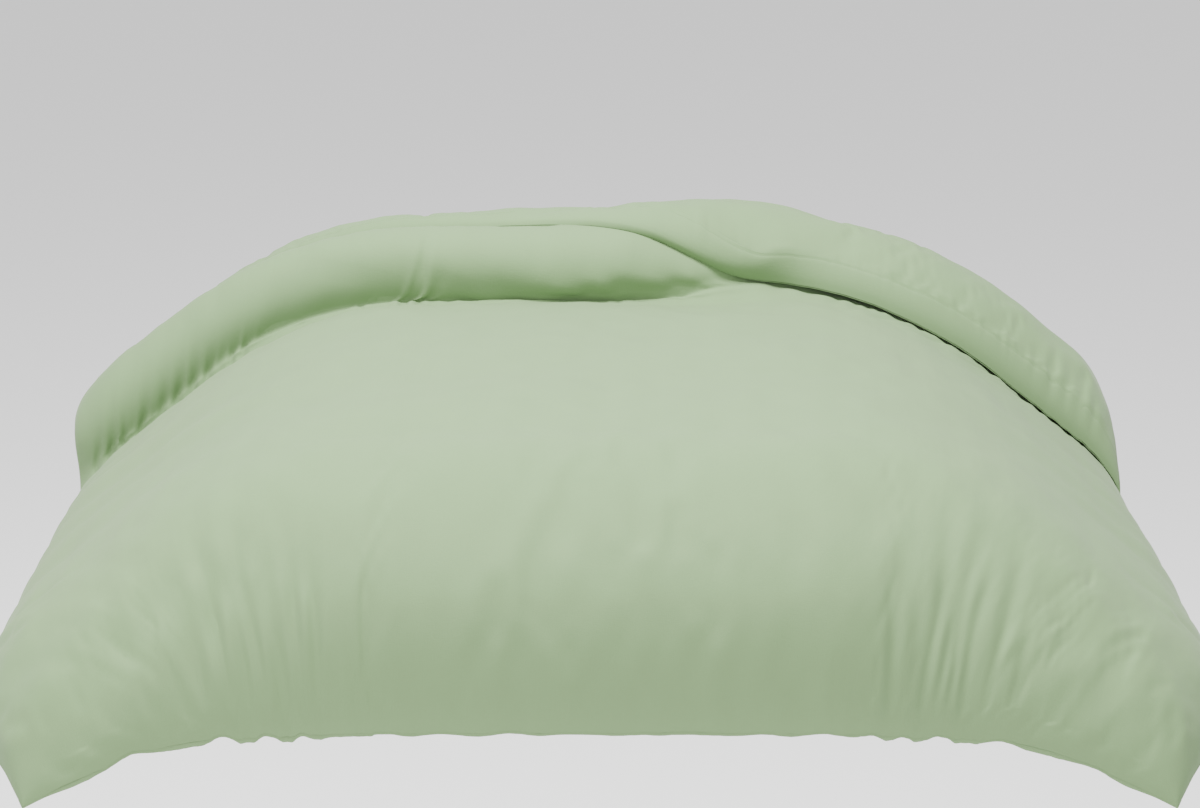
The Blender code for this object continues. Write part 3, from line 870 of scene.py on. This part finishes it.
class DUVET_OT_insert(bpy.types.Operator):
    """Make the quilted insert inside the cover"""
    bl_idname = "duvet.insert"
    bl_label = "Insert"

    def execute(self, context):
        inset = INSERT_INSET + 0.006
        places = np.linspace(-HALF + inset, HALF - inset, 91)
        top, bottom, flat = [], [], []
        for u in places:
            section = Section(u)
            sides = [], [], []
            for kind, place in kinds_of(section, (1, 1, 1)):
                if kind == "lying":
                    place = np.concatenate([[inset], place[6:]])
                elif kind == "turned":
                    place = np.concatenate([place[:-6], [section.hem + inset]])
                along = section.along(kind, place)
                middle = section.thickness(kind, place) / 2
                seam = np.minimum(self.from_seam(u), self.from_seam(along - COVER / 2))
                half = np.maximum(middle - INSERT_CLEAR, CLOTH) * (0.55 + 0.45 * rounded(seam, 0.09))
                sides[0].append(section.points(kind, place, middle + half))
                sides[1].append(section.points(kind, place, middle - half))
                sides[2].append(np.stack([np.full_like(place, u), along], -1))
            for kept, made in zip((top, bottom, flat), sides):
                kept.append(np.concatenate(made))
        top, bottom, flat = (np.stack(part, axis=1) for part in (top, bottom, flat))
        obj = closed_skin("insert_quilt", top, bottom, flat, 1, coarse=1)
        made = material(woven, "insert_cotton", colours_of(context).insert, 0.0008)
        finished(obj, made)
        names = [f"fill_{row}_{side}" for row in (
            "foot_drop", "foot_top", "middle_top", "pleat", "head_top", "turnback"
        ) for side in ("left", "centre", "right")]
        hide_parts("insert_top_shell", "insert_bottom_shell", *names)
        return {"FINISHED"}

    def from_seam(self, place):
        """Distance to the nearest stitch line: they lie evenly about the middle."""
        return np.abs((np.asarray(place) / QUILT_PITCH) % 1 - 0.5) * -QUILT_PITCH + QUILT_PITCH / 2


# -------- zip, label and ties

ZIP_LENGTH = 0.70
ZIP_UP = 0.045
TAPE_WIDTH = 0.012
TAPE_THICK = 0.0008
CHAIN_WIDTH = 0.003
CHAIN_THICK = 0.0016
FIT = 0.0004


def zip_frame():
    """Axes of the zip: along it, up the drop, and out towards the bed."""
    most = FOOT_BEND[1]
    reach, level = hang(FOOT_DROP - ZIP_UP, 0.0, FOOT_BEND)
    up = Vector((0, math.cos(most), math.sin(most)))
    out = Vector((0, math.sin(most), -math.cos(most)))
    frame_of_zip = Matrix((Vector((-1, 0, 0)), up, out)).transposed().to_4x4()
    frame_of_zip.translation = Vector((0, REST_FOOT - float(reach), float(level)))
    return frame_of_zip


class DUVET_OT_zip(bpy.types.Operator):
    """Make the zip's tapes and coil, and finish its metal pieces"""
    bl_idname = "duvet.zip"
    bl_label = "Zip"

    def execute(self, context):
        place, sizes = zip_frame(), sizes_of(context)
        twill = material(woven, "zip_tape_twill", colours_of(context).tape, 0.0006)
        for name, side in (("zip_tape_upper", 1), ("zip_tape_lower", -1)):
            obj = self.tape(name, side)
            obj.data.transform(place)
            finished(outward(obj), twill)
            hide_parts(name)
        # Nylon monofilament coil
        nylon = material(plain, "zip_coil_nylon", colours_of(context).tape, 0.4)
        coil = self.coil(sizes)
        coil.data.transform(place)
        finished(coil, nylon)
        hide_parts("zip_chain")
        metal = material(zinc, "zinc_alloy")
        for name in ("zip_slider", "zip_pull", "zip_top_stop", "zip_bottom_stop"):
            dress(name, metal)
        return {"FINISHED"}

    def tape(self, name, side):
        """A flat woven tape, its outer edge a little rippled."""
        along = np.linspace(-ZIP_LENGTH / 2, ZIP_LENGTH / 2, 141)
        across = np.linspace(0, 1, 7)
        x, share = np.meshgrid(along, across)
        y = side * (CHAIN_WIDTH / 2 + FIT + TAPE_WIDTH * share)
        ripple = 0.00012 * crumple(x, 0 * x, 0.03, 31) * share**2
        thick = TAPE_THICK * (0.5 + 0.5 * rounded(np.minimum(share, 1 - share), 0.08))
        low = np.stack([x, y, FIT + TAPE_THICK / 2 - thick / 2 + ripple], -1)
        high = np.stack([x, y, FIT + TAPE_THICK / 2 + thick / 2 + ripple], -1)
        flat = np.stack([x, y], -1)
        return closed_skin(name, high, low, flat, side, coarse=1)

    def coil(self, sizes):
        """Two rows of rounded teeth that mesh along the middle."""
        count = int((ZIP_LENGTH - 0.001) / sizes.tooth_pitch) - 1
        teeth = []
        for side in (1, -1):
            bpy.ops.object.select_all(action="DESELECT")
            bpy.ops.mesh.primitive_cube_add(size=1, location=(0, 0, 0))
            tooth = bpy.context.object
            bpy.ops.object.mode_set(mode="EDIT")
            bpy.ops.mesh.select_all(action="SELECT")
            bpy.ops.transform.resize(value=(0.62 * sizes.tooth_pitch, 0.0019, CHAIN_THICK))
            bpy.ops.mesh.bevel(offset=0.0002, segments=1, affect="EDGES")
            start = -ZIP_LENGTH / 2 + 0.0008 + (0.5 * sizes.tooth_pitch if side < 0 else 0)
            bpy.ops.transform.translate(value=(start, side * 0.00045, FIT + CHAIN_THICK / 2))
            bpy.ops.object.mode_set(mode="OBJECT")
            row = tooth.modifiers.new("row", "ARRAY")
            row.use_relative_offset, row.use_constant_offset = False, True
            row.constant_offset_displace = (sizes.tooth_pitch, 0, 0)
            row.count = count
            bpy.ops.object.modifier_apply(modifier=row.name)
            teeth.append(tooth)
        bpy.ops.object.select_all(action="DESELECT")
        for tooth in teeth:
            tooth.select_set(True)
        bpy.context.view_layer.objects.active = teeth[0]
        bpy.ops.object.join()
        coil = bpy.context.object
        coil.name = coil.data.name = "zip_coil"
        return coil


def dress(name, made):
    """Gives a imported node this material, through its object."""
    obj = bpy.data.objects[name]
    for place in obj.material_slots:
        place.link = "OBJECT"
        place.material = made
    return obj


def softened(name, round_by):
    """A copy of a small packed cloth node, its edges rounded."""
    source = bpy.data.objects[name]
    obj = source.copy()
    obj.data = source.data.copy()
    obj.name = name + "_cloth"
    for key in list(obj.keys()):
        del obj[key]
    bpy.context.scene.collection.objects.link(obj)
    work = bmesh.new()
    work.from_mesh(obj.data)
    work.transform(obj.matrix_world)
    bmesh.ops.remove_doubles(work, verts=work.verts, dist=0.00001)
    bmesh.ops.dissolve_limit(work, angle_limit=math.radians(3), verts=work.verts, edges=work.edges)
    bmesh.ops.bevel(work, geom=work.edges[:], offset=round_by, segments=2, affect="EDGES")
    bmesh.ops.recalc_face_normals(work, faces=work.faces)
    work.to_mesh(obj.data)
    work.free()
    obj.parent = None
    obj.matrix_world = Matrix()
    obj.hide_render = obj.hide_viewport = False
    obj.data.shade_smooth()
    obj.data.set_sharp_from_angle(angle=math.radians(40))
    return obj


class DUVET_OT_ties(bpy.types.Operator):
    """Make the corner loops of the insert, the ties through them and the care label"""
    bl_idname = "duvet.ties"
    bl_label = "Label and ties"

    def execute(self, context):
        twill = material(woven, "twill_tape", colours_of(context).insert, 0.0005)
        for end in ("foot", "head"):
            for side in ("left", "right"):
                for kind in ("insert_loop", "corner_tie"):
                    name = f"{kind}_{end}_{side}"
                    obj = softened(name, 0.00022)
                    finished(obj, twill)
                    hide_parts(name)
        label = self.label(sizes_of(context))
        satin = material(woven, "label_satin", colours_of(context).label, 0.0003, 0.45)
        finished(label, satin)
        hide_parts("care_label")
        return {"FINISHED"}

    def label(self, sizes):
        """Sewn in at the side seam, its free end standing a little off the cloth."""
        low, high = HALF - 0.027, HALF - 0.005
        start, tall = 0.2886, 0.055
        across = np.linspace(low, high, 13)
        along = np.linspace(start, start + tall, 21)
        faces = [], []
        for u in across:
            section = Section(u)
            broad, fine = relief(section, "lying", along, sizes, "back")
            curl = 0.0016 * ((high - u) / (high - low)) ** 2 * (0.8 + 0.2 * np.sin(along / 0.012))
            for kept, off in zip(faces, (0.0009, 0.0003)):
                kept.append(section.points("lying", along, broad + fine - off - curl))
        outer, inner = (np.stack(part, axis=1) for part in faces)
        flat = np.stack(np.broadcast_arrays(across[None, :], along[:, None]), -1)
        return closed_skin("satin_label", outer, inner, flat, -1, coarse=1)


# -------- stage

class DUVET_OT_stage(bpy.types.Operator):
    """Make the pale floor, the soft studio light and the camera"""
    bl_idname = "duvet.stage"
    bl_label = "Stage"

    def execute(self, context):
        bpy.ops.object.select_all(action="DESELECT")
        bpy.ops.mesh.primitive_plane_add(size=60, location=(0, 0, 0))
        floor = context.object
        floor.name = "floor"
        floor.data.transform(Matrix.Translation((0, 0, -1.6)))
        # Matt paper backdrop
        floor.data.materials.append(plain("backdrop_paper", colours_of(context).floor, 0.95))
        world = bpy.data.worlds.new("studio")
        world.use_nodes = True
        world.node_tree.nodes["Background"].inputs["Color"].default_value = (1, 1, 1, 1)
        world.node_tree.nodes["Background"].inputs["Strength"].default_value = 1.05
        context.scene.world = world
        self.lamp("key", (-0.5, -0.9, 4.7), 1.7, 780, (0, -0.1, -0.1))
        self.lamp("fill", (-2.0, -6.5, 1.6), 3.0, 260, (0, 0, -0.1))
        camera = bpy.data.cameras.new("camera")
        camera.lens, camera.sensor_width = 102, 36
        holder = bpy.data.objects.new("camera", camera)
        holder.location = (0, -6.20, 1.54)
        holder.rotation_euler = (math.radians(90 - 14.7), 0, 0)
        context.scene.collection.objects.link(holder)
        context.scene.camera = holder
        return {"FINISHED"}

    def lamp(self, name, place, size, watts, target):
        light = bpy.data.lights.new(name, "AREA")
        light.size, light.energy = size, watts
        obj = bpy.data.objects.new(name, light)
        obj.location = place
        obj.rotation_euler = (Vector(target) - Vector(place)).to_track_quat("-Z", "Y").to_euler()
        bpy.context.scene.collection.objects.link(obj)


# -------- add-on

class DUVET_PT_panel(bpy.types.Panel):
    """Sizes, colours and pieces of the duvet"""
    bl_idname = "DUVET_PT_panel"
    bl_label = "Duvet"
    bl_space_type = "VIEW_3D"
    bl_region_type = "UI"
    bl_category = "Duvet"

    def draw(self, context):
        for group in (sizes_of(context), colours_of(context)):
            column = self.layout.column()
            for name in group.__annotations__:
                column.prop(group, name)
        for operator in OPERATORS:
            self.layout.operator(operator.bl_idname)


OPERATORS = (DUVET_OT_cover, DUVET_OT_hems, DUVET_OT_insert, DUVET_OT_zip, DUVET_OT_ties, DUVET_OT_stage)
CLASSES = (DuvetSizes, DuvetColours, *OPERATORS, DUVET_PT_panel)


def register():
    for made in CLASSES:
        bpy.utils.register_class(made)
    bpy.types.Scene.duvet_sizes = PointerProperty(type=DuvetSizes)
    bpy.types.Scene.duvet_colours = PointerProperty(type=DuvetColours)


def unregister():
    del bpy.types.Scene.duvet_colours
    del bpy.types.Scene.duvet_sizes
    for made in reversed(CLASSES):
        bpy.utils.unregister_class(made)


def main():
    register()
    for operator in OPERATORS:
        group, name = operator.bl_idname.split(".")
        getattr(getattr(bpy.ops, group), name)()


if __name__ == "__main__":
    main()
